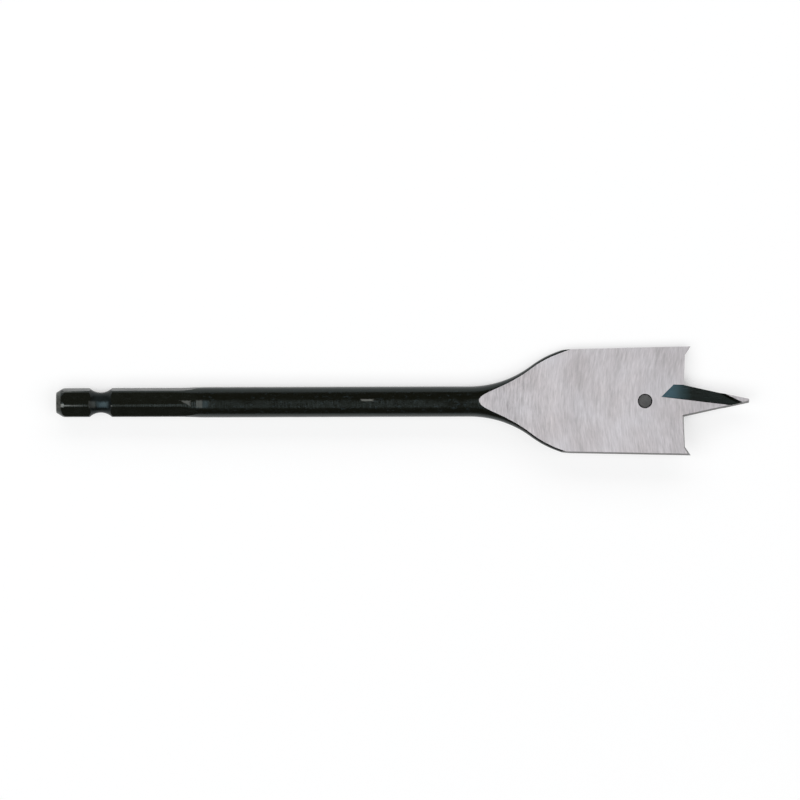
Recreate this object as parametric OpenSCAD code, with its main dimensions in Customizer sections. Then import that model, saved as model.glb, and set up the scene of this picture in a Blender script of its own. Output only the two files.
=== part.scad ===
// Spade drill bit: one forged and ground steel piece, lying at rest on its shaft and one spur.
// Inside the modules the bit's axis is X from the shank end to the point, and Z is the blade's face.
// Sizes are in millimetres and angles in degrees.

/* [Shank and shaft] */
// Length of the round bar from the shank end to the start of the neck
bar_length = 95.5; // [75:0.5:140]
// Diameter of the round shaft
shaft_d = 7; // [6.9:0.05:7.4]
// Width across the flats of the hexagonal shank
hex_across_flats = 6.2; // [6:0.05:6.4]
// Width across the rounded corners of the hexagonal shank
hex_across_corners = 6.8; // [6.6:0.05:6.85]
// Length of the full flats from the shank end
hex_length = 28.2; // [24:0.2:40]
// Radius at which the flats run out into the shaft
flat_run_out_r = 30; // [15:1:40]
// Length of the cone from the hexagon corners to the shaft
corner_run_out = 3; // [1.5:0.5:5]
// Turn of a hexagon corner away from straight out of the blade's face
hex_turn = 11.8; // [0:0.2:25]
// Diameter of the flat end of the shank
shank_end_d = 4.5; // [3.5:0.1:5.2]
// Length of the chamfer at the shank end
shank_chamfer = 2; // [1:0.1:3]

/* [Ball groove] */
// Distance of the groove's middle from the shank end
groove_x = 10.3; // [9:0.1:14]
// Diameter at the bottom of the groove
groove_bottom_d = 4.64; // [4.2:0.02:5.4]
// Radius of the groove's hollow
groove_r = 4.15; // [2.5:0.05:5]

/* [Forged neck] */
// Radius of the hollow curve where the neck leaves the shaft
flare_r = 23.6; // [21:0.2:26]
// Steepest angle of the neck's sides to the axis
neck_angle = 35.8; // [33:0.2:38]
// Length of the straight side between the two curves
neck_straight = 0.8; // [0.2:0.1:2]
// Radius of the rounded curve that leads to the shoulder
swell_r = 23; // [21:0.2:25]
// Angle of the side to the axis at the shoulder
shoulder_angle = 20; // [16:0.5:24]
// Length over which the round bar is drawn out flat
thinning_length = 19.2; // [16:0.2:22]
// Thickness of the forged blank before its faces are ground
forged_t = 2.8; // [2.7:0.05:3.2]
// Depth of the rounding along the forged sides
forged_edge = 0.95; // [0.7:0.05:1.4]

/* [Ground blade] */
// Thickness between the ground faces
blade_t = 2.4; // [2:0.05:2.6]
// Distance from the start of the neck to the nose of each ground face
face_setback = 1.9; // [1:0.1:4]
// Radius of the grinding wheel where a face rises to the shaft
face_wheel_r = 80; // [60:1:100]
// Width over the spur tips
blade_w = 25.4; // [24.5:0.1:26]
// Angle by which each side flares towards the spurs
side_flare = 1.24; // [0.4:0.02:2]
// Relief angle of the sides
side_relief = 7; // [3:0.5:10]
// Distance from the start of the neck to the inner ends of the lips
lip_x = 49.4; // [40:0.2:60]
// Angle by which the lips lean forwards at their outer ends
lip_lean = 2.3; // [0:0.1:5]
// Relief angle of the lips
lip_relief = 6; // [3:0.5:12]
// Height of the spurs from the inner ends of the lips
spur_height = 1.62; // [1.2:0.02:2.4]
// Angle of a spur's inner side to the axis
spur_angle = 56; // [45:1:65]
// Relief angle of the spurs
spur_relief = 8; // [4:0.5:14]

/* [Hole] */
// Diameter of the hole through the blade
hole_d = 3.2; // [2:0.1:4]
// Distance of the hole back from the lips
hole_back = 8.8; // [7:0.1:16]

/* [Centre point] */
// Length of the point from the inner ends of the lips
point_length = 15.1; // [13:0.1:18]
// Width of the point at its root
point_root_w = 7; // [6:0.1:8]
// Width of the point at its blunt tip
point_tip_w = 0.9; // [0.7:0.05:1.4]
// Relief angle of the point's edges
point_relief = 11; // [6:0.5:14]

/* [Flutes] */
// Distance behind the lips at which a flute starts
flute_back = 5; // [4:0.1:6]
// Offset of a flute's wall from the axis at its start
flute_offset = 0.8; // [0.4:0.05:1.2]
// Angle of a flute's wall to the axis
flute_angle = 6.9; // [5:0.1:9]
// Depth of a flute at its wall
flute_depth = 0.8; // [0.5:0.05:0.95]
// Width of a flute from its wall to where its floor reaches the face
flute_w = 3.33; // [2.8:0.05:3.6]
// Lean of a flute's wall from upright
flute_wall_lean = 10; // [5:1:25]
// Radius at which a flute runs out behind the lips
flute_run_out_r = 14; // [8:0.5:18]
// Angle of the run-out's edge to the axis
flute_start_angle = 45; // [35:1:60]
// Length of plain face between a flute's end and the tip, along the point's edge
flute_tip_land = 5.3; // [4:0.1:7]
// Angle of a flute's end to the axis
flute_end_angle = 26; // [20:1:32]
// Angle at which a flute's end rises to the face
flute_end_rise = 45; // [30:1:60]

/* [Hidden] */
$fn = 120;
black_steel = [0.10, 0.11, 0.10];
ground_steel = [0.76, 0.74, 0.76];
hex_sides = 6;
shaft_r = shaft_d / 2;
half_t = blade_t / 2;
half_w = blade_w / 2;
lip_at = bar_length + lip_x;
overall_length = lip_at + point_length;
spur_at = lip_at + spur_height;
point_slope = atan2((point_root_w - point_tip_w) / 2, point_length);
face_drop = shaft_r - half_t;
face_ramp = sqrt(2 * face_wheel_r * face_drop - face_drop * face_drop);
face_flat_at = bar_length + face_setback + face_ramp;

// Reach of the cutting blocks, past every surface they clear
reach = lip_x + point_length + blade_w;

// Height to which a flute's sides are carried on above the face
flute_headroom = 1;

// Points round each cross-section of the forged blank, and steps along each of its two curves
section_points = 42;
curve_steps = 10;

// Step that sets the blank's root inside the shaft, and how far it runs into it
root_step = 0.01;
root_overlap = 1;
root_r = shaft_r - root_step;

// Ends of the neck's curves, along the axis and out from it
flare_end_x = bar_length + flare_r * sin(neck_angle);
flare_end_y = root_r + flare_r * (1 - cos(neck_angle));
swell_start_x = flare_end_x + neck_straight * cos(neck_angle);
swell_start_y = flare_end_y + neck_straight * sin(neck_angle);
swell_centre_x = swell_start_x + swell_r * sin(neck_angle);
swell_centre_y = swell_start_y - swell_r * cos(neck_angle);
swell_end_x = swell_centre_x - swell_r * sin(shoulder_angle);
swell_end_y = swell_centre_y + swell_r * cos(shoulder_angle);
blank_end_y = swell_end_y + (overall_length - swell_end_x) * tan(shoulder_angle);

// Roll that brings one spur down to the surface the shaft lies on
rest_roll = atan2(half_t, half_w) - asin(shaft_r / norm([half_w, half_t]));

// Stations of the blank: distance along the axis and half width
stations = concat(
    [[bar_length - root_overlap, root_r]],
    [for (i = [0 : curve_steps])
        let (a = neck_angle * i / curve_steps)
        [bar_length + flare_r * sin(a), root_r + flare_r * (1 - cos(a))]],
    [for (i = [0 : curve_steps])
        let (a = neck_angle + (shoulder_angle - neck_angle) * i / curve_steps)
        [swell_centre_x - swell_r * sin(a), swell_centre_y + swell_r * cos(a)]],
    [[overall_length, blank_end_y]]
);

function ease(t) = t * t * (3 - 2 * t);

// Share of the way from the round bar to the flat blank
function drawn(x) = ease(min(1, max(0, (x - bar_length) / thinning_length)));

function between(a, b, share) = a + (b - a) * share;

// Cross-section of the blank: two half ellipses joined by flats
function section(station) =
    let (share = drawn(station[0]))
    let (edge = between(root_r, forged_edge, share))
    let (half_thickness = between(root_r, forged_t / 2, share))
    [for (i = [0 : section_points - 1])
        let (a = 360 * i / section_points)
        [station[0], sign(cos(a)) * (station[1] - edge) + edge * cos(a), half_thickness * sin(a)]];

// Round bar with the chamfered end and the turned-down shank
module bar() {
    rotate([0, 90, 0])
        rotate_extrude()
            polygon([
                [0, 0],
                [shank_end_d / 2, 0],
                [hex_across_corners / 2, shank_chamfer],
                [hex_across_corners / 2, hex_length + corner_run_out],
                [shaft_r, hex_length + 2 * corner_run_out],
                [shaft_r, bar_length],
                [0, bar_length]
            ]);
}

// Section swept by a wheel: flat at the level from zero on, rising behind it at the wheel's radius
module wheel_pass(level, wheel_r) {
    translate([0, level])
        square([reach, reach]);
    intersection() {
        translate([0, level + wheel_r])
            circle(wheel_r);
        translate([-reach, level])
            square([reach, wheel_r]);
    }
}

module hex_flats() {
    for (i = [0 : hex_sides - 1])
        rotate([(i + 0.5) * 360 / hex_sides, 0, 0])
            translate([hex_length, 0, 0])
                rotate([90, 0, 0])
                    linear_extrude(height = 2 * shaft_d, center = true)
                        mirror([1, 0])
                            wheel_pass(hex_across_flats / 2, flat_run_out_r);
}

module ball_groove() {
    translate([groove_x, 0, 0])
        rotate([0, 90, 0])
            rotate_extrude()
                translate([groove_bottom_d / 2 + groove_r, 0])
                    circle(groove_r);
}

module forged_blank() {
    n = section_points;
    last = len(stations) - 1;
    polyhedron(
        points = [for (s = stations) each section(s)],
        faces = concat(
            [[for (k = [0 : n - 1]) k]],
            [for (i = [0 : last - 1], k = [0 : n - 1]) [i * n + k, (i + 1) * n + k, (i + 1) * n + (k + 1) % n]],
            [for (i = [0 : last - 1], k = [0 : n - 1])
                [i * n + k, (i + 1) * n + (k + 1) % n, i * n + (k + 1) % n]],
            [[for (k = [n - 1 : -1 : 0]) last * n + k]]
        )
    );
}

module ground_face() {
    translate([face_flat_at, 0, 0])
        rotate([90, 0, 0])
            linear_extrude(height = reach, center = true)
                wheel_pass(half_t, face_wheel_r);
}

// All that lies outside an edge of the upper face, leaning back below it by the relief angle
module outside(x, y, heading, relief) {
    translate([x, y, half_t])
        rotate([0, relief, heading])
            translate([0, -reach / 2, -reach / 2])
                cube(reach);
}

module ground_side() {
    outside(spur_at, half_w, 90 + side_flare, side_relief);
}

// Room in front of one lip, between the point and the spur
module ground_lip() {
    intersection() {
        outside(lip_at, point_root_w / 2, -lip_lean, lip_relief);
        outside(lip_at, point_root_w / 2, 90 - point_slope, point_relief);
        outside(spur_at, half_w, spur_angle - 90, spur_relief);
    }
}

// Section of a flute under the face: a steep wall and a floor that climbs to the face, both carried on above it
module flute_section() {
    lean = tan(flute_wall_lean);
    rise = flute_depth / (flute_w - lean * flute_depth);
    polygon([
        [-lean * flute_headroom, flute_headroom],
        [lean * flute_depth, -flute_depth],
        [flute_w + flute_headroom / rise, flute_headroom]
    ]);
}

module flute() {
    run_out = sqrt(2 * flute_run_out_r * flute_depth - flute_depth * flute_depth);
    land_x = overall_length - flute_tip_land;
    land_y = point_tip_w / 2 + flute_tip_land * tan(point_slope);
    difference() {
        translate([lip_at - flute_back, flute_offset, half_t])
            intersection() {
                rotate([0, 0, -flute_angle])
                    rotate([90, 0, 90])
                        linear_extrude(height = reach, center = true)
                            flute_section();
                rotate([0, 0, -flute_start_angle])
                    translate([run_out, 0, 0])
                        rotate([90, 0, 0])
                            linear_extrude(height = reach, center = true)
                                wheel_pass(-flute_depth, flute_run_out_r);
            }
        outside(land_x, land_y, 90 - flute_end_angle, flute_end_rise);
    }
}

module cross_hole() {
    translate([lip_at - hole_back, 0, 0])
        cylinder(d = hole_d, h = 2 * shaft_d, center = true);
}

module shank() {
    rotate([hex_turn, 0, 0])
        difference() {
            color(black_steel) bar();
            color(black_steel) hex_flats();
            color(black_steel) ball_groove();
        }
}

module blade() {
    difference() {
        color(black_steel) forged_blank();
        for (turn = [0, 180])
            rotate([turn, 0, 0]) {
                color(ground_steel) ground_face();
                color(ground_steel) ground_side();
                color(ground_steel) ground_lip();
                color(black_steel) flute();
            }
        color(ground_steel) cross_hole();
    }
}

module spade_bit() {
    translate([-overall_length / 2, 0, shaft_r])
        rotate([rest_roll, 0, 0]) {
            shank();
            blade();
        }
}

spade_bit();
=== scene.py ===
import math

import bmesh
import bpy
from mathutils import Matrix, Vector


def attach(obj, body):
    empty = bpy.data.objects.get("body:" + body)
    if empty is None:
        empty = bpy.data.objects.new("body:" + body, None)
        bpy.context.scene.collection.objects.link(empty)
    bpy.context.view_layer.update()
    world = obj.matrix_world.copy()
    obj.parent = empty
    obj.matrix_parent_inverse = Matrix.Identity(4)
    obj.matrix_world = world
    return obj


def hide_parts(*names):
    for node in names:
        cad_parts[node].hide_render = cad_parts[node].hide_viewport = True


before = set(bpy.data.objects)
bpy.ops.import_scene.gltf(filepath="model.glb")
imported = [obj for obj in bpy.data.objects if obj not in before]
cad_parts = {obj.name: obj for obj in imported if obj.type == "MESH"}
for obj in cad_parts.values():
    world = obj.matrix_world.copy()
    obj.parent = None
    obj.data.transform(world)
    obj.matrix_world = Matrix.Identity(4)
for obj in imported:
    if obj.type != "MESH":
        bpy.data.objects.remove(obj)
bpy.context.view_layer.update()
print("frame loaded")

# The bit is built in millimetres along X, shank end at 0, front face towards +Z, then laid down on the floor.
lay = {
    "length": 160.0,
    "shaftRadius": 3.5,
    "spurOut": 12.7,      # half the width over the spurs
    "halfBlade": 1.2,     # half the blade's thickness
    "hexTurn": 11.8,      # degrees from straight out of the blade's face to a corner of the hexagon
}
spurReach = math.hypot(lay["spurOut"], lay["halfBlade"])
roll = math.atan2(lay["halfBlade"], lay["spurOut"]) - math.asin(lay["shaftRadius"] / spurReach)
layDown = (
    Matrix.Translation((-lay["length"] / 2000, 0, lay["shaftRadius"] / 1000))
    @ Matrix.Rotation(roll, 4, "X")
    @ Matrix.Scale(0.001, 4)
)
collection = bpy.context.scene.collection


# Node helpers, for geometry and shader trees alike

def newGroup(name, kind, inputs, outputs):
    tree = bpy.data.node_groups.new(name, kind)
    for label, socket, value in inputs:
        made = tree.interface.new_socket(label, in_out="INPUT", socket_type=socket)
        if value is not None:
            made.default_value = value
    for label, socket in outputs:
        tree.interface.new_socket(label, in_out="OUTPUT", socket_type=socket)
    return tree, tree.nodes.new("NodeGroupInput"), tree.nodes.new("NodeGroupOutput")


def feed(tree, socket, value):
    if isinstance(value, bpy.types.NodeSocket):
        tree.links.new(value, socket)
    else:
        socket.default_value = value


def calc(tree, operation, *values, clamp=False):
    node = tree.nodes.new("ShaderNodeMath")
    node.operation = operation
    node.use_clamp = clamp
    for socket, value in zip(node.inputs, values):
        feed(tree, socket, value)
    return node.outputs[0]


def ramp(tree, value, low, high, outLow=0.0, outHigh=1.0, smooth=True):
    node = tree.nodes.new("ShaderNodeMapRange")
    node.interpolation_type = "SMOOTHSTEP" if smooth else "LINEAR"
    names = ("Value", "From Min", "From Max", "To Min", "To Max")
    for name, number in zip(names, (value, low, high, outLow, outHigh)):
        feed(tree, node.inputs[name], number)
    return node.outputs[0]


def split(tree, vector):
    node = tree.nodes.new("ShaderNodeSeparateXYZ")
    tree.links.new(vector, node.inputs[0])
    return node.outputs


def addObject(name, data):
    obj = bpy.data.objects.new(name, data)
    collection.objects.link(obj)
    return obj


def settle(obj):
    # the evaluated result becomes the object's plain mesh
    graph = bpy.context.evaluated_depsgraph_get()
    mesh = bpy.data.meshes.new_from_object(obj.evaluated_get(graph), preserve_all_data_layers=True, depsgraph=graph)
    mesh.name = obj.name
    obj.modifiers.clear()
    old = obj.data
    obj.data = mesh
    bpy.data.meshes.remove(old)


def runTree(obj, tree, values):
    modifier = obj.modifiers.new(tree.name, "NODES")
    modifier.node_group = tree
    for item in tree.interface.items_tree:
        if item.item_type == "SOCKET" and item.in_out == "INPUT" and item.name in values:
            modifier[item.identifier] = values[item.name]
    settle(obj)


# Finishes, all procedural in the bit's own millimetres

finishes = {}


def noise(tree, where, stretch, detail=2.0, rough=0.5, seed=0.0):
    # stretch is how many cells to the millimetre along each axis
    node = tree.nodes.new("ShaderNodeVectorMath")
    node.operation = "MULTIPLY_ADD"
    tree.links.new(where, node.inputs[0])
    node.inputs[1].default_value = stretch
    node.inputs[2].default_value = (seed, seed * 0.7, seed * 1.3)
    cloud = tree.nodes.new("ShaderNodeTexNoise")
    tree.links.new(node.outputs[0], cloud.inputs["Vector"])
    cloud.inputs["Scale"].default_value = 1.0
    cloud.inputs["Detail"].default_value = detail
    cloud.inputs["Roughness"].default_value = rough
    return cloud.outputs["Fac"]


def mixColor(tree, factor, a, b):
    node = tree.nodes.new("ShaderNodeMix")
    node.data_type = "RGBA"
    feed(tree, node.inputs["Factor"], factor)
    for socket, value in ((node.inputs[6], a), (node.inputs[7], b)):
        feed(tree, socket, value if isinstance(value, bpy.types.NodeSocket) else (*value, 1))
    return node.outputs[2]


def bump(tree, height, depth):
    # depth in millimetres
    node = tree.nodes.new("ShaderNodeBump")
    node.inputs["Strength"].default_value = 1.0
    node.inputs["Distance"].default_value = depth / 1000
    tree.links.new(height, node.inputs["Height"])
    return node.outputs["Normal"]


def useGroup(tree, group, **values):
    node = tree.nodes.new("ShaderNodeGroup")
    node.node_tree = group
    for name, value in values.items():
        feed(tree, node.inputs[name], value)
    return node.outputs


def startFinish(name):
    material = bpy.data.materials.new(name)
    material.use_nodes = True
    tree = material.node_tree
    shader = tree.nodes["Principled BSDF"]
    place = tree.nodes.new("ShaderNodeTexCoord")
    turn = tree.nodes.new("ShaderNodeMapping")
    turn.vector_type = "TEXTURE"      # back from the floor to millimetres along the bit
    turn.inputs["Location"].default_value = layDown.translation
    turn.inputs["Rotation"].default_value = (roll, 0, 0)
    turn.inputs["Scale"].default_value = (0.001, 0.001, 0.001)
    tree.links.new(place.outputs["Object"], turn.inputs["Vector"])
    finishes[name] = material
    return tree, shader, turn.outputs["Vector"]


grind = {
    # cells to the millimetre along, across and through the bit, then detail, roughness and seed
    "fine": ((4.2, 0.55, 0.3), 2.0, 0.6, 0.0),
    "coarse": ((1.9, 0.27, 0.3), 1.0, 0.5, 11.0),
    "bands": ((0.28, 0.03, 0.2), 1.0, 0.5, 5.0),
    "cloud": ((0.12, 0.12, 0.2), 2.0, 0.5, 23.0),
    "fineShare": 0.6,
    "lean": 0.02,
    "bow": 0.008,
    "range": (0.3, 0.7),      # the part of the noise that is spread from 0 to 1
}


def makeGrindGroup():
    # lines left by a grinding wheel: they run across the bit in shallow arcs
    tree, given, result = newGroup("grindingLines", "ShaderNodeTree", [
        ("Vector", "NodeSocketVector", None),
        ("Lean", "NodeSocketFloat", grind["lean"]),
        ("Bow", "NodeSocketFloat", grind["bow"]),
    ], [("Lines", "NodeSocketFloat"), ("Bands", "NodeSocketFloat"), ("Cloud", "NodeSocketFloat")])
    x, y, z = split(tree, given.outputs["Vector"])
    shift = calc(tree, "ADD", calc(tree, "MULTIPLY", y, given.outputs["Lean"]),
                 calc(tree, "MULTIPLY", calc(tree, "MULTIPLY", y, y), given.outputs["Bow"]))
    bent = tree.nodes.new("ShaderNodeCombineXYZ")
    for socket, value in zip(bent.inputs, (calc(tree, "SUBTRACT", x, shift), y, z)):
        tree.links.new(value, socket)
    fine = calc(tree, "MULTIPLY", noise(tree, bent.outputs[0], *grind["fine"]), grind["fineShare"])
    coarse = calc(tree, "MULTIPLY", noise(tree, bent.outputs[0], *grind["coarse"]), 1 - grind["fineShare"])
    lines = calc(tree, "ADD", fine, coarse)
    bands = noise(tree, bent.outputs[0], *grind["bands"])
    cloud = noise(tree, given.outputs["Vector"], *grind["cloud"])
    for name, value in (("Lines", lines), ("Bands", bands), ("Cloud", cloud)):
        tree.links.new(ramp(tree, value, *grind["range"], smooth=False), result.inputs[name])
    return tree


oxideGrain = {
    # cells to the millimetre along, across and through the bit, then detail, roughness and seed
    "mottle": ((0.35, 0.6, 0.6), 3.0, 0.6, 0.0),
    "flecks": ((0.9, 1.6, 1.6), 3.0, 0.65, 7.0),
    "marks": ((2.8, 0.3, 0.3), 2.0, 0.55, 3.0),
    "grain": ((2.6, 2.6, 2.6), 2.0, 0.5, 13.0),
    "patches": ((0.10, 0.2, 0.2), 2.0, 0.5, 19.0),
    "softRange": (0.35, 0.65),      # the part of the noise that is spread from 0 to 1
    "fleckRange": (0.55, 0.72),
    "leastMarks": 0.25,             # of full depth, between the patches
    "marksShare": 0.85,
}


def makeOxideGroup():
    # blackened forging skin: soft mottling, pale flecks and marks left across the bar by drawing and turning
    tree, given, result = newGroup("oxideSkin", "ShaderNodeTree", [
        ("Vector", "NodeSocketVector", None),
    ], [("Mottle", "NodeSocketFloat"), ("Flecks", "NodeSocketFloat"), ("Height", "NodeSocketFloat")])
    where = given.outputs["Vector"]
    mottle = noise(tree, where, *oxideGrain["mottle"])
    tree.links.new(ramp(tree, mottle, *oxideGrain["softRange"]), result.inputs["Mottle"])
    flecks = noise(tree, where, *oxideGrain["flecks"])
    tree.links.new(ramp(tree, flecks, *oxideGrain["fleckRange"]), result.inputs["Flecks"])
    marks = noise(tree, where, *oxideGrain["marks"])
    grain = noise(tree, where, *oxideGrain["grain"])
    patches = noise(tree, where, *oxideGrain["patches"])
    patches = ramp(tree, patches, *oxideGrain["softRange"], oxideGrain["leastMarks"], 1.0)
    marks = calc(tree, "MULTIPLY", calc(tree, "SUBTRACT", marks, 0.5), patches)
    marks = calc(tree, "MULTIPLY", marks, oxideGrain["marksShare"])
    grain = calc(tree, "MULTIPLY", grain, 1 - oxideGrain["marksShare"])
    tree.links.new(calc(tree, "ADD", marks, grain), result.inputs["Height"])
    return tree


# painted highlights and painted blue reflections, with some rubbed skin: pale on the chamfer, in the groove and on the
# run-outs of the flats where they catch the light, blue in the groove's middle and on a run-out
rubAndHighlightMarks = [
    # along, across, half length, half width, strength, kind
    # painted highlight on the chamfer
    (1.45, -0.68, 0.38, 0.42, 1.00, "bareAndHighlight"),
    (8.30, -0.45, 0.80, 0.85, 0.16, "bareAndHighlight"),
    # painted blue reflection in the middle of the groove
    (10.80, -0.50, 1.45, 0.80, 1.00, "blue"),
    (12.85, -0.76, 0.20, 0.20, 0.50, "bareAndHighlight"),
    (29.8, -0.26, 1.30, 0.71, 0.42, "wedge"),      # painted highlight above the slant from its upper left to its lower right
    # the next two: painted highlight and painted blue reflection on the run-out of the flats
    (33.05, -0.40, 0.75, 0.95, 0.30, "bareAndHighlight"),
    (34.5, -0.40, 0.85, 0.95, 0.40, "blue"),
    (71.8, 0.40, 1.50, 0.26, 0.60, "bareAndHighlight"),
]
rubAndHighlightEdge = {
    "ragged": ((2.4, 1.1, 1.1), 3.0, 0.65, 31.0),      # as in oxideGrain
    "raggedness": 0.7,
    "fadeOut": 1.15,           # in half lengths and widths of the mark
    "paleCore": 0.6,
    "blueCore": 0.35,
    "frontFrom": 1.5,          # only above this height over the axis, on the front that the light falls on
}


def makeRubAndHighlightGroup():
    # pale and blue places on the front of the bar: partly skin rubbed thin, partly painted highlights and painted blue
    # reflections
    tree, given, result = newGroup("rubbedSkinAndHighlights", "ShaderNodeTree", [("Vector", "NodeSocketVector", None)],
                                   [("RubAndHighlight", "NodeSocketFloat"), ("BlueReflection", "NodeSocketFloat")])
    ragged = noise(tree, given.outputs["Vector"], *rubAndHighlightEdge["ragged"])
    x, y, z = split(tree, given.outputs["Vector"])
    totals = {"RubAndHighlight": 0.0, "BlueReflection": 0.0}
    for along, across, halfLength, halfWidth, strength, kind in rubAndHighlightMarks:
        u = calc(tree, "DIVIDE", calc(tree, "SUBTRACT", x, along), halfLength)
        v = calc(tree, "DIVIDE", calc(tree, "SUBTRACT", y, across), halfWidth)
        far = calc(tree, "MAXIMUM", calc(tree, "ABSOLUTE", u), calc(tree, "ABSOLUTE", v))
        if kind == "wedge":
            far = calc(tree, "MAXIMUM", far, calc(tree, "SUBTRACT", 1.0, calc(tree, "ADD", u, v)))
        far = calc(tree, "MULTIPLY_ADD", calc(tree, "SUBTRACT", ragged, 0.5), rubAndHighlightEdge["raggedness"], far)
        total, core = ("BlueReflection", rubAndHighlightEdge["blueCore"]) if kind == "blue" else ("RubAndHighlight", rubAndHighlightEdge["paleCore"])
        mark = ramp(tree, far, rubAndHighlightEdge["fadeOut"], core)
        totals[total] = calc(tree, "MULTIPLY_ADD", mark, strength, totals[total])
    # painted only on the front, the side the light falls on
    front = calc(tree, "GREATER_THAN", z, rubAndHighlightEdge["frontFrom"])
    for name, total in totals.items():
        tree.links.new(calc(tree, "MULTIPLY", total, front), result.inputs[name])
    return tree


grindGroup = makeGrindGroup()
oxideGroup = makeOxideGroup()
rubAndHighlightGroup = makeRubAndHighlightGroup()

oxide = {
    "color": (0.0046, 0.0042, 0.0016),
    "paleColor": (0.020, 0.029, 0.032),
    "fleckShare": 0.55,
    "ior": 1.38,
    "tint": (0.76, 0.98, 1.0, 1),
    "roughness": (0.17, 0.27),
    "bumpDepth": 0.06,
}
bareSteelAndHighlight = {
    "color": (0.20, 0.205, 0.19),      # where the skin is rubbed through, and for the painted highlights
    "blueReflectionColor": (0.040, 0.060, 0.069),
}
wearAndHighlight = {
    # the shank's end and a thin line along its corners are rubbed all round; the corner line is also a painted
    # highlight, strongest near the end
    "uneven": ((0.8, 1.2, 1.2), 3.0, 0.6, 41.0),      # as in oxideGrain
    # from and to, then the levels there
    "end": (1.3, 0.8, 0.0, 1.0),
    "endUneven": (0.25, 0.6, 0.14, 0.43),
    "endRim": (0.3, 0.08, 1.0, 2.0),
    "endFlat": (0.0, 0.03, 0.3, 1.0),
    "cornerAngle": (math.radians(3.4), math.radians(1.6), 0.0, 1.0),      # off the corner
    "cornerUneven": (0.3, 0.6, 0.4, 1.0),
    "cornerAlong": (8.0, 2.0, 0.06, 0.70),
    "cornerStart": (1.0, 1.7, 0.0, 1.0),
    "cornerStop": (30.0, 29.0, 0.0, 1.0),
}


def setOxide(shader, ior=oxide["ior"]):
    shader.inputs["IOR"].default_value = ior
    shader.inputs["Specular Tint"].default_value = oxide["tint"]


def makeBlackOxide():
    tree, shader, where = startFinish("blackOxide")
    skin = useGroup(tree, oxideGroup, Vector=where)
    pale = calc(tree, "MULTIPLY", skin["Flecks"], oxide["fleckShare"])
    color = mixColor(tree, pale, oxide["color"], oxide["paleColor"])
    marks = useGroup(tree, rubAndHighlightGroup, Vector=where)
    x, y, z = split(tree, where)
    uneven = noise(tree, where, *wearAndHighlight["uneven"])
    end = ramp(tree, x, *wearAndHighlight["end"])
    for value, name in ((uneven, "endUneven"), (x, "endRim"), (x, "endFlat")):
        end = calc(tree, "MULTIPLY", end, ramp(tree, value, *wearAndHighlight[name]))
    # painted highlight along the hex corners, strongest near the end, on top of the rubbed corners
    around = calc(tree, "ADD", calc(tree, "ARCTAN2", y, z), math.radians(lay["hexTurn"]))
    offCorner = calc(tree, "PINGPONG", around, math.radians(30))
    corner = ramp(tree, offCorner, *wearAndHighlight["cornerAngle"])
    for value, name in ((uneven, "cornerUneven"), (x, "cornerAlong"), (x, "cornerStart"), (x, "cornerStop")):
        corner = calc(tree, "MULTIPLY", corner, ramp(tree, value, *wearAndHighlight[name]))
    # rubbed end and corners, with the painted highlights and painted blue reflections of the marks
    bareAndHighlight = calc(tree, "ADD", calc(tree, "ADD", marks["RubAndHighlight"], end), corner, clamp=True)
    color = mixColor(tree, marks["BlueReflection"], color, bareSteelAndHighlight["blueReflectionColor"])
    feed(tree, shader.inputs["Base Color"], mixColor(tree, bareAndHighlight, color, bareSteelAndHighlight["color"]))
    feed(tree, shader.inputs["Roughness"], ramp(tree, skin["Mottle"], 0, 1, *oxide["roughness"], smooth=False))
    feed(tree, shader.inputs["Normal"], bump(tree, skin["Height"], oxide["bumpDepth"]))
    setOxide(shader)


hexOxide = {
    "color": (0.0058, 0.0058, 0.0030),
    "paleColor": (0.0092, 0.0095, 0.0068),
    "roughness": (0.2, 0.3),
    "bumpDepth": 0.004,
}


def makeHexOxide():
    tree, shader, where = startFinish("hexOxide")
    skin = useGroup(tree, oxideGroup, Vector=where)
    color = mixColor(tree, skin["Flecks"], hexOxide["color"], hexOxide["paleColor"])
    # painted highlights from the marks over the hex's skin
    rubbed = useGroup(tree, rubAndHighlightGroup, Vector=where)["RubAndHighlight"]
    feed(tree, shader.inputs["Base Color"], mixColor(tree, rubbed, color, bareSteelAndHighlight["color"]))
    feed(tree, shader.inputs["Roughness"], ramp(tree, skin["Mottle"], 0, 1, *hexOxide["roughness"], smooth=False))
    feed(tree, shader.inputs["Normal"], bump(tree, skin["Height"], hexOxide["bumpDepth"]))
    setOxide(shader)


grooveOxide = {
    "color": (0.0050, 0.0060, 0.0052),
    "paleColor": (0.0080, 0.0105, 0.0105),
    "roughness": (0.26, 0.36),
    "bumpDepth": 0.004,
    "ior": 1.27,      # the turned groove is duller than the bar
}


def makeGrooveOxide():
    tree, shader, where = startFinish("grooveOxide")
    skin = useGroup(tree, oxideGroup, Vector=where)
    marks = useGroup(tree, rubAndHighlightGroup, Vector=where)
    color = mixColor(tree, skin["Mottle"], grooveOxide["color"], grooveOxide["paleColor"])
    # painted blue reflection and painted highlights in the groove
    color = mixColor(tree, marks["BlueReflection"], color, bareSteelAndHighlight["blueReflectionColor"])
    feed(tree, shader.inputs["Base Color"], mixColor(tree, marks["RubAndHighlight"], color, bareSteelAndHighlight["color"]))
    feed(tree, shader.inputs["Roughness"], ramp(tree, skin["Mottle"], 0, 1, *grooveOxide["roughness"], smooth=False))
    feed(tree, shader.inputs["Normal"], bump(tree, skin["Height"], grooveOxide["bumpDepth"]))
    setOxide(shader, grooveOxide["ior"])


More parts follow.
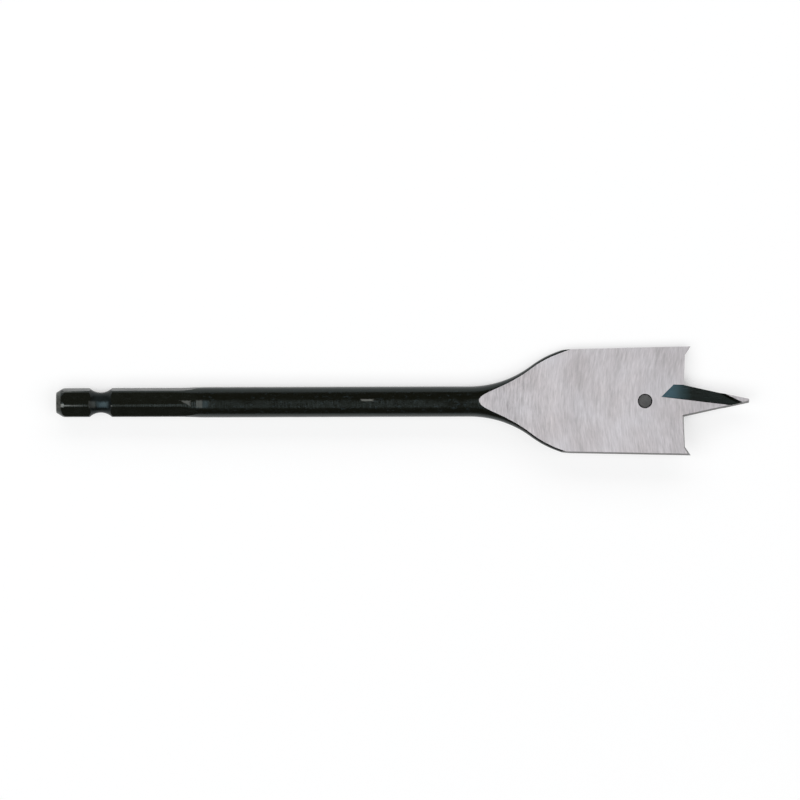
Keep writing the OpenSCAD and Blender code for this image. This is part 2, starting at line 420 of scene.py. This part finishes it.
ground = {
    "darkColor": (0.292, 0.276, 0.285),
    "paleColor": (0.746, 0.705, 0.719),
    "coolColor": (0.721, 0.703, 0.733),
    "metallic": 0.6,                   # the ground lines scatter part of the light
    "roughness": (0.40, 0.52),
    "anisotropy": 0.75,
    "lineDepth": 0.0035,
    "neck": (118.0, 104.0),            # the lines grow stronger from here to there
    "lineSpread": (0.30, 0.47),        # what the neck adds, and the rest of the face
    "bandSpread": (0.20, 0.15),
    "cloudSpread": 0.15,
    # from and to along the bit, then the tone there: painted highlight at the nose, painted shade at the lips
    "noseHighlightTone": (97.0, 110.0, 0.67, 0.5),
    "lipShadeTone": (126.0, 146.0, 0.0, -0.11),      # added to it
}


def makeGroundFace():
    tree, shader, where = startFinish("groundFace")
    lines = useGroup(tree, grindGroup, Vector=where)
    x, y, z = split(tree, where)
    neck = ramp(tree, x, *ground["neck"])
    # lines, wide bands and a soft unevenness in one value about 0.5, with a painted highlight at the nose and painted
    # shade at the lips
    lineSpread = calc(tree, "MULTIPLY_ADD", neck, *ground["lineSpread"])
    bandSpread = calc(tree, "MULTIPLY_ADD", neck, *ground["bandSpread"])
    fine = calc(tree, "MULTIPLY", calc(tree, "SUBTRACT", lines["Lines"], 0.5), lineSpread)
    wide = calc(tree, "MULTIPLY", calc(tree, "SUBTRACT", lines["Bands"], 0.5), bandSpread)
    cloud = calc(tree, "MULTIPLY", calc(tree, "SUBTRACT", lines["Cloud"], 0.5), ground["cloudSpread"])
    level = calc(tree, "ADD", ramp(tree, x, *ground["noseHighlightTone"], smooth=False),
                 ramp(tree, x, *ground["lipShadeTone"], smooth=False))
    tone = calc(tree, "ADD", calc(tree, "ADD", fine, wide), calc(tree, "ADD", cloud, level), clamp=True)
    pale = mixColor(tree, lines["Cloud"], ground["paleColor"], ground["coolColor"])
    feed(tree, shader.inputs["Base Color"], mixColor(tree, tone, ground["darkColor"], pale))
    feed(tree, shader.inputs["Roughness"], ramp(tree, lines["Lines"], 0, 1, *ground["roughness"], smooth=False))
    feed(tree, shader.inputs["Normal"], bump(tree, lines["Lines"], ground["lineDepth"]))
    shader.inputs["Metallic"].default_value = ground["metallic"]
    shader.inputs["Anisotropic"].default_value = ground["anisotropy"]
    along = tree.nodes.new("ShaderNodeTangent")      # the shine spreads across the lines
    along.direction_type = "UV_MAP"
    along.uv_map = "alongBit"
    tree.links.new(along.outputs[0], shader.inputs["Tangent"])


# painted shade: the ground sides, lips and tip are the same steel as the face, painted far darker for the shaded floor
# they reflect
shadedEdgeGrind = {
    "darkColor": (0.080, 0.080, 0.077),
    "paleColor": (0.130, 0.130, 0.124),
    "roughness": (0.36, 0.5),
    "lines": ((3.0, 3.0, 0.4), 2.0, 0.6),      # as in grind
    "lineDepth": 0.004,
}


def makeShadedGroundEdge():
    tree, shader, where = startFinish("shadedGroundEdge")
    lines = noise(tree, where, *shadedEdgeGrind["lines"])
    tone = ramp(tree, lines, 0.35, 0.65)
    feed(tree, shader.inputs["Base Color"], mixColor(tree, tone, shadedEdgeGrind["darkColor"], shadedEdgeGrind["paleColor"]))
    feed(tree, shader.inputs["Roughness"], ramp(tree, lines, *grind["range"], *shadedEdgeGrind["roughness"]))
    feed(tree, shader.inputs["Normal"], bump(tree, lines, shadedEdgeGrind["lineDepth"]))
    shader.inputs["Metallic"].default_value = 1.0


# painted reflection and painted shade: the flute is blue where its run-out catches a bluish reflection, then teal, then
# black where its flat floor faces away from the light
fluteSheen = {
    "blueReflectionColor": (0.024, 0.062, 0.085),
    "tealColor": (0.014, 0.027, 0.028),
    "shadedBlackColor": (0.0036, 0.0038, 0.0020),
    "blueToTeal": (141.5, 145.6),      # along the bit
    "tealToBlack": (145.0, 147.0),
    "drift": ((0.5, 0.9, 0.9), 2.0, 0.5, 17.0),      # as in oxideGrain
    "driftReach": 1.6,
    "lines": ((0.4, 3.0, 3.0), 2.0, 0.6, 2.0),
    "lineDepth": 0.003,
    "roughness": (0.2, 0.28),
}


def makeFluteSheen():
    tree, shader, where = startFinish("paintedSheenFlute")
    x, y, z = split(tree, where)
    drift = noise(tree, where, *fluteSheen["drift"])
    x = calc(tree, "MULTIPLY_ADD", calc(tree, "SUBTRACT", drift, 0.5), fluteSheen["driftReach"], x)
    teal, black = ramp(tree, x, *fluteSheen["blueToTeal"]), ramp(tree, x, *fluteSheen["tealToBlack"])
    paintedSheen = mixColor(tree, teal, fluteSheen["blueReflectionColor"], fluteSheen["tealColor"])
    feed(tree, shader.inputs["Base Color"], mixColor(tree, black, paintedSheen, fluteSheen["shadedBlackColor"]))
    lines = noise(tree, where, *fluteSheen["lines"])
    feed(tree, shader.inputs["Roughness"], ramp(tree, lines, *grind["range"], *fluteSheen["roughness"]))
    feed(tree, shader.inputs["Normal"], bump(tree, lines, fluteSheen["lineDepth"]))
    setOxide(shader)


# painted shade: the hole's wall is kept near black, far darker than plain steel, for the shade inside the hole
shadedDrill = {
    "darkColor": (0.010, 0.010, 0.009),
    "paleColor": (0.035, 0.036, 0.034),
    "rings": ((0.5, 0.5, 5.0), 2.0, 0.6),      # as in grind
    "ringDepth": 0.006,
    "roughness": (0.35, 0.5),
}


def makeShadedHoleWall():
    tree, shader, where = startFinish("shadedHoleWall")
    rings = noise(tree, where, *shadedDrill["rings"])
    feed(tree, shader.inputs["Base Color"], mixColor(tree, rings, shadedDrill["darkColor"], shadedDrill["paleColor"]))
    feed(tree, shader.inputs["Roughness"], ramp(tree, rings, *grind["range"], *shadedDrill["roughness"]))
    feed(tree, shader.inputs["Normal"], bump(tree, rings, shadedDrill["ringDepth"]))
    shader.inputs["Metallic"].default_value = 1.0


makeBlackOxide()
makeHexOxide()
makeGrooveOxide()
makeGroundFace()
makeShadedGroundEdge()
makeFluteSheen()
makeShadedHoleWall()
print("finishes made:", ", ".join(finishes))


# Forged blank: bar, neck and flat in one skin, drawn out by a rule along the axis

blank = {
    "Length": lay["length"],
    "Shaft Radius": lay["shaftRadius"],
    "Shank Corner": 3.42,
    "Shank End": 2.33,
    "Chamfer": 1.8,
    "Cone Start": 31.0,
    "Cone Length": 3.5,
    "Bar Length": 95.5,
    "Flare Radius": 23.6,
    "Neck Angle": math.radians(35.8),
    "Neck Straight": 0.8,
    "Swell Radius": 23.0,
    "Shoulder Angle": math.radians(20),
    "Thinning": 19.2,
    "Half Thickness": 1.3,
    "Edge Rounding": 0.95,
    "Stations": 320,
    "Sides": 120,
}


def finishTree(tree, geometry, finish, result):
    real = tree.nodes.new("GeometryNodeRealizeInstances")
    dress = tree.nodes.new("GeometryNodeSetMaterial")
    tree.links.new(geometry, real.inputs[0])
    tree.links.new(real.outputs[0], dress.inputs["Geometry"])
    tree.links.new(finish, dress.inputs["Material"])
    tree.links.new(dress.outputs[0], result.inputs[0])


def makeBlankTree():
    kinds = {"Stations": "NodeSocketInt", "Sides": "NodeSocketInt"}
    inputs = [(name, kinds.get(name, "NodeSocketFloat"), value) for name, value in blank.items()]
    inputs.append(("Finish", "NodeSocketMaterial", None))
    tree, given, result = newGroup(
        "forgedBlank", "GeometryNodeTree",
        [("Geometry", "NodeSocketGeometry", None)] + inputs, [("Geometry", "NodeSocketGeometry")])
    size = given.outputs

    tube = tree.nodes.new("GeometryNodeMeshCylinder")
    feed(tree, tube.inputs["Vertices"], size["Sides"])
    feed(tree, tube.inputs["Side Segments"], size["Stations"])
    tube.inputs["Radius"].default_value = 1.0
    tube.inputs["Depth"].default_value = 1.0
    spot = tree.nodes.new("GeometryNodeInputPosition")
    across, upright, along = split(tree, spot.outputs[0])

    def add(a, b): return calc(tree, "ADD", a, b)
    def sub(a, b): return calc(tree, "SUBTRACT", a, b)
    def mul(a, b): return calc(tree, "MULTIPLY", a, b)
    def div(a, b): return calc(tree, "DIVIDE", a, b)
    def sin(a): return calc(tree, "SINE", a)
    def cos(a): return calc(tree, "COSINE", a)
    def leg(r, a): return calc(tree, "SQRT", calc(tree, "MAXIMUM", sub(mul(r, r), mul(a, a)), 0.0))

    def pick(test, low, high):      # low where x is under the limit
        node = tree.nodes.new("GeometryNodeSwitch")
        node.input_type = "FLOAT"
        tree.links.new(calc(tree, "LESS_THAN", x, test), node.inputs["Switch"])
        feed(tree, node.inputs["False"], high)
        feed(tree, node.inputs["True"], low)
        return node.outputs[0]

    x = mul(add(along, 0.5), size["Length"])
    chamfer = add(size["Shank End"], mul(div(x, size["Chamfer"]), sub(size["Shank Corner"], size["Shank End"])))
    cone = ramp(tree, x, size["Cone Start"], add(size["Cone Start"], size["Cone Length"]),
                size["Shank Corner"], size["Shaft Radius"], smooth=False)
    bar = calc(tree, "MINIMUM", chamfer, cone)

    # the neck's side: hollow curve, short straight, swelling curve, straight shoulder
    neck, shoulder = size["Neck Angle"], size["Shoulder Angle"]
    flareX = add(size["Bar Length"], mul(size["Flare Radius"], sin(neck)))
    flareY = add(size["Shaft Radius"], mul(size["Flare Radius"], sub(1.0, cos(neck))))
    swellX = add(flareX, mul(size["Neck Straight"], cos(neck)))
    swellY = add(flareY, mul(size["Neck Straight"], sin(neck)))
    centreX = add(swellX, mul(size["Swell Radius"], sin(neck)))
    centreY = sub(swellY, mul(size["Swell Radius"], cos(neck)))
    endX = sub(centreX, mul(size["Swell Radius"], sin(shoulder)))
    endY = add(centreY, mul(size["Swell Radius"], cos(shoulder)))
    flare = sub(add(size["Shaft Radius"], size["Flare Radius"]), leg(size["Flare Radius"], sub(x, size["Bar Length"])))
    straight = add(flareY, mul(sub(x, flareX), calc(tree, "TANGENT", neck)))
    swell = add(centreY, leg(size["Swell Radius"], sub(x, centreX)))
    rest = add(endY, mul(sub(x, endX), calc(tree, "TANGENT", shoulder)))
    half = pick(size["Bar Length"], bar, pick(flareX, flare, pick(swellX, straight, pick(endX, swell, rest))))

    # the section goes from the round bar to two half ellipses joined by flats
    thin = add(size["Bar Length"], size["Thinning"])
    edge, depth = (
        pick(size["Bar Length"], bar, ramp(tree, x, size["Bar Length"], thin, size["Shaft Radius"], size[name]))
        for name in ("Edge Rounding", "Half Thickness"))
    side = add(mul(calc(tree, "SIGN", across), sub(half, edge)), mul(edge, across))
    place = tree.nodes.new("ShaderNodeCombineXYZ")
    for socket, value in zip(place.inputs, (x, side, mul(depth, upright))):
        tree.links.new(value, socket)

    shape = tree.nodes.new("GeometryNodeSetPosition")
    tree.links.new(tube.outputs["Mesh"], shape.inputs["Geometry"])
    tree.links.new(place.outputs[0], shape.inputs["Position"])
    finishTree(tree, shape.outputs[0], size["Finish"], result)
    return tree


def makeTurnsTree():
    tree, given, result = newGroup("turnsAboutAxis", "GeometryNodeTree", [
        ("Geometry", "NodeSocketGeometry", None), ("Count", "NodeSocketInt", 2),
        ("First Turn", "NodeSocketFloat", 0.0), ("Finish", "NodeSocketMaterial", None),
    ], [("Geometry", "NodeSocketGeometry")])
    points = tree.nodes.new("GeometryNodePoints")
    feed(tree, points.inputs["Count"], given.outputs["Count"])
    number = tree.nodes.new("GeometryNodeInputIndex")
    step = calc(tree, "DIVIDE", math.tau, given.outputs["Count"])
    angle = calc(tree, "MULTIPLY_ADD", number.outputs[0], step, given.outputs["First Turn"])
    turn = tree.nodes.new("ShaderNodeCombineXYZ")
    tree.links.new(angle, turn.inputs["X"])
    place = tree.nodes.new("GeometryNodeInstanceOnPoints")
    tree.links.new(points.outputs[0], place.inputs["Points"])
    tree.links.new(given.outputs["Geometry"], place.inputs["Instance"])
    tree.links.new(turn.outputs[0], place.inputs["Rotation"])
    finishTree(tree, place.outputs[0], given.outputs["Finish"], result)
    return tree


blankTree = makeBlankTree()
turnsTree = makeTurnsTree()
bit = addObject("spade_bit_forged", bpy.data.meshes.new("spade_bit_forged"))
runTree(bit, blankTree, {**blank, "Finish": finishes["blackOxide"]})


shankRim = {"radius": 0.12, "steps": 5}
hair = 0.01      # millimetres, for finding what lies at either end of the bit


def roundShankEnd():
    mesh = bmesh.new()
    mesh.from_mesh(bit.data)
    rim = [e for e in mesh.edges if all(v.co.x < hair for v in e.verts)]
    bmesh.ops.bevel(mesh, geom=rim, offset=shankRim["radius"], segments=shankRim["steps"],
                    profile=0.5, affect="EDGES", material=-1)
    mesh.to_mesh(bit.data)
    mesh.free()


roundShankEnd()
print("forged blank:", len(bit.data.polygons), "faces")


# Grinding: each cut is a closed block, turned about the axis as often as it repeats.
# On its open sides a block stands well clear of the bit.

def blockFrom(outline, width):
    # outline in X and Z, stretched along Y to both sides
    mesh = bmesh.new()
    rows = [[mesh.verts.new((x, y, z)) for x, z in outline] for y in (-width, width)]
    mesh.faces.new(rows[0])
    mesh.faces.new(rows[1][::-1])
    for i in range(len(outline)):
        j = (i + 1) % len(outline)
        mesh.faces.new((rows[0][j], rows[0][i], rows[1][i], rows[1][j]))
    bmesh.ops.recalc_face_normals(mesh, faces=mesh.faces)
    return mesh


def trim(mesh, point, normal):
    # keep what lies on the side that the normal points to
    found = mesh.verts[:] + mesh.edges[:] + mesh.faces[:]
    cut = bmesh.ops.bisect_plane(mesh, geom=found, dist=1e-6, plane_co=point, plane_no=normal, clear_inner=True)
    rim = [e for e in cut["geom_cut"] if isinstance(e, bmesh.types.BMEdge)]
    bmesh.ops.edgeloop_fill(mesh, edges=rim)
    bmesh.ops.recalc_face_normals(mesh, faces=mesh.faces)


def outward(heading, relief):
    # normal of an edge's relief: heading in the face's plane, leaning back below it
    turn = Matrix.Rotation(math.radians(heading), 3, "Z") @ Matrix.Rotation(math.radians(relief), 3, "Y")
    return turn @ Vector((1, 0, 0))


def wheelOutline(start, level, wheel, reach, top, steps):
    # flat at the level from start on, rising behind it at the wheel's radius
    rise = math.acos(1 - min(top - level, wheel) / wheel)
    arc = [(start - wheel * math.sin(rise * i / steps), level + wheel * (1 - math.cos(rise * i / steps)))
           for i in range(steps, -1, -1)]
    return arc + [(reach, level), (reach, top)]


def cutAway(name, mesh, finish, count, firstTurn=0.0):
    block = addObject(name, bpy.data.meshes.new(name))
    mesh.to_mesh(block.data)
    mesh.free()
    runTree(block, turnsTree, {"Count": count, "First Turn": firstTurn, "Finish": finishes[finish]})
    cut = bit.modifiers.new(name, "BOOLEAN")
    cut.operation = "DIFFERENCE"
    cut.solver = "MANIFOLD"
    cut.material_mode = "TRANSFER"
    cut.object = block
    before = len(bit.data.polygons)
    settle(bit)
    bpy.data.objects.remove(block)
    print("cut", name, before, "to", len(bit.data.polygons), "faces")


shank = {
    "acrossFlats": 6.2,
    "flatLength": 28.2,
    "runOutRadius": 30.0,
    "flatReach": 1.7,          # half width of each cut
    "grooveAt": 10.3,
    "grooveBottom": 2.32,
    "grooveRadius": 3.75,
    "grooveSteps": (144, 72),  # around the axis and around the hollow
}


def cutHexFlats():
    level = shank["acrossFlats"] / 2
    outline = wheelOutline(0, level, shank["runOutRadius"], reach=60, top=level + 1, steps=24)
    block = blockFrom([(-x, z) for x, z in outline], shank["flatReach"])
    bmesh.ops.translate(block, verts=block.verts, vec=(shank["flatLength"], 0, 0))
    cutAway("hexFlat", block, "hexOxide", 6, math.radians(lay["hexTurn"] + 30))


def cutBallGroove():
    ring, hollow = shank["grooveSteps"]
    middle = shank["grooveBottom"] + shank["grooveRadius"]
    mesh = bmesh.new()
    rows = []
    for i in range(ring):
        a = math.tau * i / ring
        row = []
        for k in range(hollow):
            b = math.tau * k / hollow
            out = middle + shank["grooveRadius"] * math.cos(b)
            row.append(mesh.verts.new((shank["grooveAt"] + shank["grooveRadius"] * math.sin(b),
                                       out * math.cos(a), out * math.sin(a))))
        rows.append(row)
    for i in range(ring):
        for k in range(hollow):
            j, m = (i + 1) % ring, (k + 1) % hollow
            mesh.faces.new((rows[i][k], rows[i][m], rows[j][m], rows[j][k]))
    bmesh.ops.recalc_face_normals(mesh, faces=mesh.faces)
    cutAway("ballGroove", mesh, "grooveOxide", 1)


cutHexFlats()
cutBallGroove()

blade = {
    "faceSetback": 1.9,        # from the bar's end to the nose of the ground face
    "faceWheel": 80.0,
    "faceSkew": 0.02,          # the wheel runs out at the neck a little aslant
    "sideTrim": 0.11,          # ground off each side after the spurs were set
    "sideFlare": 1.24,
    "sideRelief": 9.5,
    "lipAt": 144.9,
    "lipLean": 2.3,
    "lipRelief": 6.0,
    "spurHeight": 1.62,
    "spurAngle": 56.0,
    "spurRelief": 8.0,
    "pointRoot": 3.66,         # half width of the point at its root
    "pointTip": 0.45,          # half width of its blunt tip
    "pointRelief": 11.0,
    "holeRadius": 1.46,
    "holeBack": 8.94,
    "holeBreak": 0.22,         # its broken edge
    "holeSteps": 72,
}
halfT, halfW = lay["halfBlade"], lay["spurOut"] - blade["sideTrim"]
lipAt, spurAt = blade["lipAt"], blade["lipAt"] + blade["spurHeight"]
pointSlope = math.degrees(math.atan2(blade["pointRoot"] - blade["pointTip"], lay["length"] - lipAt))


def boxed(low, high):
    mesh = bmesh.new()
    bmesh.ops.create_cube(mesh, size=1)
    for v in mesh.verts:
        v.co = Vector(high[i] if v.co[i] > 0 else low[i] for i in range(3))
    return mesh


def grindFaces():
    drop = lay["shaftRadius"] - halfT
    start = blank["Bar Length"] + blade["faceSetback"] + math.sqrt(2 * blade["faceWheel"] * drop - drop * drop)
    block = blockFrom(wheelOutline(start, halfT, blade["faceWheel"], reach=170, top=6, steps=64), width=16)
    for v in block.verts:
        v.co.z -= blade["faceSkew"] * (v.co.z - halfT) * v.co.y
    cutAway("faceGrind", block, "groundFace", 2)


def grindSides():
    block = boxed(low=(90, 5, -9), high=(170, 40, 9))
    trim(block, (spurAt, halfW, halfT), outward(90 + blade["sideFlare"], blade["sideRelief"]))
    cutAway("sideGrind", block, "shadedGroundEdge", 2)


def grindLips():
    block = boxed(low=(130, -6, -9), high=(172, 40, 9))
    trim(block, (lipAt, blade["pointRoot"], halfT), outward(-blade["lipLean"], blade["lipRelief"]))
    trim(block, (lipAt, blade["pointRoot"], halfT), outward(90 - pointSlope, blade["pointRelief"]))
    trim(block, (spurAt, halfW, halfT), outward(blade["spurAngle"] - 90, blade["spurRelief"]))
    cutAway("lipGrind", block, "shadedGroundEdge", 2)


def drillHole():
    small, wide = blade["holeRadius"], blade["holeRadius"] + blade["holeBreak"]
    at = lipAt - blade["holeBack"]
    mesh = bmesh.new()
    bmesh.ops.create_cone(mesh, cap_ends=True, segments=blade["holeSteps"], radius1=small, radius2=small, depth=20)
    bmesh.ops.translate(mesh, verts=mesh.verts, vec=(at, 0, 0))
    cutAway("hole", mesh, "shadedHoleWall", 1)
    mesh = bmesh.new()      # a cone of 45 degrees breaks the edge
    bmesh.ops.create_cone(mesh, cap_ends=True, segments=blade["holeSteps"], radius1=wide - 1, radius2=wide + 1, depth=2)
    bmesh.ops.translate(mesh, verts=mesh.verts, vec=(at, 0, halfT))
    cutAway("holeRim", mesh, "shadedHoleWall", 2)


flute = {
    "back": 5.2,               # its start behind the lips and off the axis
    "offset": 0.95,
    "angle": 7.0,
    "depth": 0.65,             # where it starts; the twist lets it go deeper towards the tip
    "width": 2.96,
    "twist": 5.1,
    "wallLean": 10.0,
    "runOutRadius": 14.0,
    "startAngle": 45.0,
    "tipLand": 5.5,
    "endAngle": 26.0,
    "endRise": 45.0,
}


def cutFlutes():
    start = Vector((lipAt - flute["back"], flute["offset"], halfT))
    deep = flute["depth"]
    runOut = math.sqrt(2 * flute["runOutRadius"] * deep - deep * deep)
    block = blockFrom(wheelOutline(runOut, -deep, flute["runOutRadius"], reach=40, top=0.8, steps=32), width=30)
    bmesh.ops.rotate(block, verts=block.verts, matrix=Matrix.Rotation(math.radians(-flute["startAngle"]), 3, "Z"))
    bmesh.ops.translate(block, verts=block.verts, vec=start)
    # steep wall and climbing floor, both along the flute's own direction
    heading = Matrix.Rotation(math.radians(-flute["angle"]), 3, "Z")
    lean = math.tan(math.radians(flute["wallLean"]))
    rise = deep / (flute["width"] - lean * deep)
    bottom = start + heading @ Vector((0, lean * deep, -deep))
    trim(block, bottom, heading @ Vector((0, 1, lean)))
    trim(block, bottom, heading @ Vector((rise * math.tan(math.radians(flute["twist"])), -rise, 1)))
    landX = lay["length"] - flute["tipLand"]
    landY = blade["pointTip"] + flute["tipLand"] * math.tan(math.radians(pointSlope))
    trim(block, (landX, landY, halfT), -outward(90 - flute["endAngle"], flute["endRise"]))
    cutAway("flute", block, "paintedSheenFlute", 2)


grindFaces()
grindSides()
grindLips()
cutFlutes()
drillHole()


meshing = {
    "merge": 0.002,          # millimetres
    "sharpAngle": 12.0,      # edges over it stay crisp
}


def finishBit():
    mesh = bmesh.new()
    mesh.from_mesh(bit.data)
    bmesh.ops.remove_doubles(mesh, verts=mesh.verts, dist=meshing["merge"])
    bmesh.ops.dissolve_degenerate(mesh, edges=mesh.edges, dist=meshing["merge"])
    edgeSlot = bit.data.materials.find("shadedGroundEdge")
    for face in mesh.faces:
        face.smooth = True
        if face.calc_center_median().x > lay["length"] - hair:      # the blunt tip is ground too
            face.material_index = edgeSlot
    sharp = math.radians(meshing["sharpAngle"])
    for line in mesh.edges:
        line.smooth = len(line.link_faces) == 2 and line.calc_face_angle(0) < sharp
    loose = [e for e in mesh.edges if len(e.link_faces) != 2]
    print("open or doubled edges:", len(loose), "of", len(mesh.edges))
    flat = mesh.loops.layers.uv.new("alongBit")
    for face in mesh.faces:
        for corner in face.loops:
            corner[flat].uv = (corner.vert.co.x / lay["length"], corner.vert.co.y / lay["length"] + 0.5)
    mesh.to_mesh(bit.data)
    mesh.free()
    for i in reversed(range(len(bit.data.materials))):
        if bit.data.materials[i] is None:      # the blank's tube brings an empty slot
            bit.data.materials.pop(index=i)
    bit.data.transform(layDown)
    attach(bit, "root")
    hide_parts("spade_bit")


finishBit()
print("bit finished:", len(bit.data.polygons), "faces,", len(bit.data.materials), "finishes")

# Floor, light and camera

studio = {
    "floorColor": (0.36, 0.36, 0.36, 1),
    "floorRoughness": 0.9,
    "floorLift": 0.660,           # what the eye and reflections see on top of the lit floor
    "shelter": 0.03,              # how far the bit keeps that light off the floor
    "shelterRange": (0.15, 0.45),
    "shelterSamples": 8,
    "floorSize": 4.0,
    "worldColor": (0.085, 0.09, 0.095, 1),
}
panels = {
    # soft panels over the bit, left and right of the camera; strength is radiance
    "left": {"middle": (-1.085, -0.475, 1.2), "size": (1.83, 1.45), "strength": 2.0},
    "right": {"middle": (1.085, -0.475, 1.2), "size": (1.83, 1.45), "strength": 1.65},
    # light for the floor behind the bit, kept out of reflections
    "fill": {"middle": (0.0, 1.5, 1.3), "size": (3.0, 1.2), "strength": 2.5, "glossy": False},
}


def makeFloor():
    mesh = bmesh.new()
    bmesh.ops.create_grid(mesh, x_segments=1, y_segments=1, size=studio["floorSize"] / 2)
    floor = addObject("floor", bpy.data.meshes.new("floor"))
    mesh.to_mesh(floor.data)
    mesh.free()
    paper = bpy.data.materials.new("floorPaper")
    paper.use_nodes = True
    tree = paper.node_tree
    shader = tree.nodes["Principled BSDF"]
    shader.inputs["Base Color"].default_value = studio["floorColor"]
    shader.inputs["Roughness"].default_value = studio["floorRoughness"]
    shader.inputs["Specular IOR Level"].default_value = 0.0
    path = tree.nodes.new("ShaderNodeLightPath")
    seen = calc(tree, "MAXIMUM", calc(tree, "MAXIMUM", path.outputs["Is Camera Ray"], path.outputs["Is Glossy Ray"]),
                path.outputs["Is Transmission Ray"])
    # painted shadow: no lift where the bit hides the floor from the room, as under the blade
    hidden = tree.nodes.new("ShaderNodeAmbientOcclusion")
    hidden.samples = studio["shelterSamples"]
    hidden.inputs["Distance"].default_value = studio["shelter"]
    clear = ramp(tree, hidden.outputs["AO"], *studio["shelterRange"])
    shader.inputs["Emission Color"].default_value = (1, 1, 1, 1)
    lift = calc(tree, "MULTIPLY", calc(tree, "MULTIPLY", seen, clear), studio["floorLift"])
    feed(tree, shader.inputs["Emission Strength"], lift)
    floor.data.materials.append(paper)


def makeLights():
    lean = Matrix.Rotation(roll, 4, "X")      # square to the blade's face
    for name, panel in panels.items():
        data = bpy.data.lights.new(name + "Panel", "AREA")
        data.shape = "RECTANGLE"
        data.size, data.size_y = panel["size"]
        data.energy = panel["strength"] * math.pi * data.size * data.size_y
        lamp = addObject(name + "Panel", data)
        lamp.visible_glossy = panel.get("glossy", True)
        lamp.matrix_world = lean @ Matrix.Translation(panel["middle"])
    world = bpy.data.worlds.new("studioWorld")
    world.use_nodes = True
    world.node_tree.nodes["Background"].inputs["Color"].default_value = studio["worldColor"]
    bpy.context.scene.world = world


view = {
    "pixelsPerMm": 4.33,
    "frame": 800,
    "aim": (79.39, 0.40, 0.0),     # the middle of the frame, in the bit's millimetres
    "turn": -0.166,                # degrees
    "distance": 2500.0,
    "sensor": 36.0,
}


def makeCamera():
    data = bpy.data.cameras.new("camera")
    data.sensor_width = view["sensor"]
    data.lens = view["sensor"] * view["distance"] * view["pixelsPerMm"] / view["frame"]
    data.clip_start = 0.01
    camera = addObject("camera", data)
    turn = Matrix.Rotation(roll, 4, "X")
    spot = layDown @ Vector(view["aim"]) + turn @ Vector((0, 0, view["distance"] / 1000))
    camera.matrix_world = Matrix.Translation(spot) @ turn @ Matrix.Rotation(math.radians(view["turn"]), 4, "Z")
    bpy.context.scene.camera = camera


makeFloor()
makeLights()
makeCamera()
bpy.context.scene.view_settings.view_transform = "Standard"
print("studio made")
